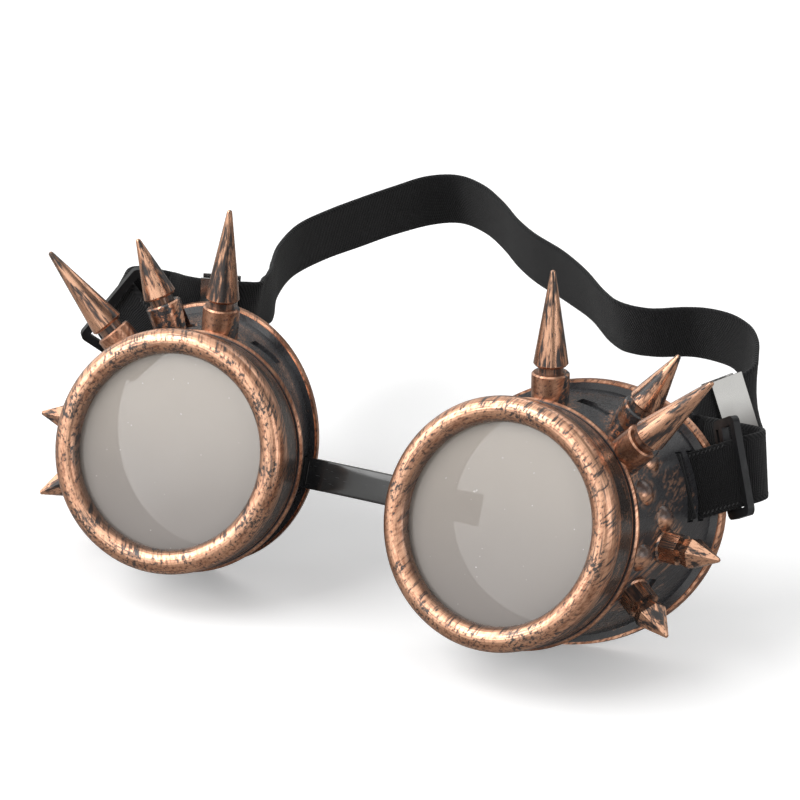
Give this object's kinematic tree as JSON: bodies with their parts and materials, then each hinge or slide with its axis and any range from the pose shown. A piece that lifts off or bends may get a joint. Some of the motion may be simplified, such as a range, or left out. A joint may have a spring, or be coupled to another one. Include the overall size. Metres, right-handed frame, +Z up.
{
  "type": "steampunk goggles",
  "caption": "Round goggles with screw-on lens rings, cone and hexagonal spikes, a flexible nose bridge and an adjustable elastic head strap.",
  "frame": {"origin": "on the surface the goggles stand on, below the middle of their bounding box", "axes": "+Z up; the lenses face -Y and look 25 degrees up; the wearer's left cup is on +X"},
  "size_m": [0.1958, 0.1913, 0.0962],
  "materials": {
    "bridge": "glossy black flexible strip",
    "webbing": "ribbed woven elastic",
    "shell": "glossy black with copper brushed over the edges",
    "copper": "copper brushed over black",
    "ring_copper": "copper brushed over black, scratchy streaks",
    "lens": "clear with a light mirror tint",
    "gasket": "matte",
    "slider": "moulded, satin",
    "clip": "polished sheet",
    "screws": "plain"
  },
  "bodies": {
    "nose_band": {"nose_bridge": "bridge", "head_strap": "webbing"},
    "left_tab": {"left_bridge_tab": "bridge"},
    "left_cup_group": {"left_cup": "shell", "left_tall_spike": "copper", "left_short_spike": "copper", "left_outer_spike": "copper", "left_upper_hex_spike": "copper", "left_lower_hex_spike": "copper", "left_spike_screws": "screws", "left_slot_strap": "webbing", "left_slider": "slider", "left_clip": "clip"},
    "left_lens_group": {"left_lens": "lens", "left_gasket": "gasket"},
    "left_ring_group": {"left_ring": "ring_copper"},
    "right_tab": {"right_bridge_tab": "bridge"},
    "right_cup_group": {"right_cup": "shell", "right_tall_spike": "copper", "right_short_spike": "copper", "right_outer_spike": "copper", "right_upper_hex_spike": "copper", "right_lower_hex_spike": "copper", "right_spike_screws": "screws", "right_slot_strap": "webbing", "right_slider": "slider", "right_clip": "clip"},
    "right_lens_group": {"right_lens": "lens", "right_gasket": "gasket"},
    "right_ring_group": {"right_ring": "ring_copper"}
  },
  "joints": [
    {"name": "left_fold", "type": "hinge", "parent": "nose_band", "child": "left_tab", "pos_m": [0.01118, -0.05688, 0.03101], "axis": [0, 0.4226, 0.9063], "range_deg": [-10, 40], "stiffness_Nm_per_rad": 0.08, "deforming": ["head_strap", "nose_bridge"]},
    {"name": "left_fit", "type": "slide", "parent": "left_tab", "child": "left_cup_group", "axis": [0.9969, -0.0711, 0.0332], "range_m": [-0.0025, 0.0035], "deforming": ["head_strap"]},
    {"name": "left_lens_out", "type": "slide", "parent": "left_cup_group", "child": "left_lens_group", "axis": [-0.0785, -0.9035, 0.4213], "range_m": [0, 0.00825]},
    {"name": "left_ring_turn", "type": "hinge", "parent": "left_lens_group", "child": "left_ring_group", "pos_m": [0.04445, -0.07953, 0.04157], "axis": [-0.0785, -0.9035, 0.4213], "range_deg": [0, 990.1]},
    {"name": "right_fold", "type": "hinge", "parent": "nose_band", "child": "right_tab", "pos_m": [-0.01448, -0.05688, 0.03101], "axis": [0, -0.4226, -0.9063], "range_deg": [-10, 40], "stiffness_Nm_per_rad": 0.08, "deforming": ["head_strap", "nose_bridge"]},
    {"name": "right_fit", "type": "slide", "parent": "right_tab", "child": "right_cup_group", "axis": [-0.9969, -0.0711, 0.0332], "range_m": [-0.0025, 0.0035], "deforming": ["head_strap"]},
    {"name": "right_lens_out", "type": "slide", "parent": "right_cup_group", "child": "right_lens_group", "axis": [0.0785, -0.9035, 0.4213], "range_m": [0, 0.00825]},
    {"name": "right_ring_turn", "type": "hinge", "parent": "right_lens_group", "child": "right_ring_group", "pos_m": [-0.04774, -0.07953, 0.04157], "axis": [-0.0785, 0.9035, -0.4213], "range_deg": [0, 990.1]}
  ],
  "couplings": [
    {"joint": "left_ring_turn", "follows": "left_lens_out", "rad_per_m": 2094.4},
    {"joint": "right_ring_turn", "follows": "right_lens_out", "rad_per_m": 2094.4}
  ]
}
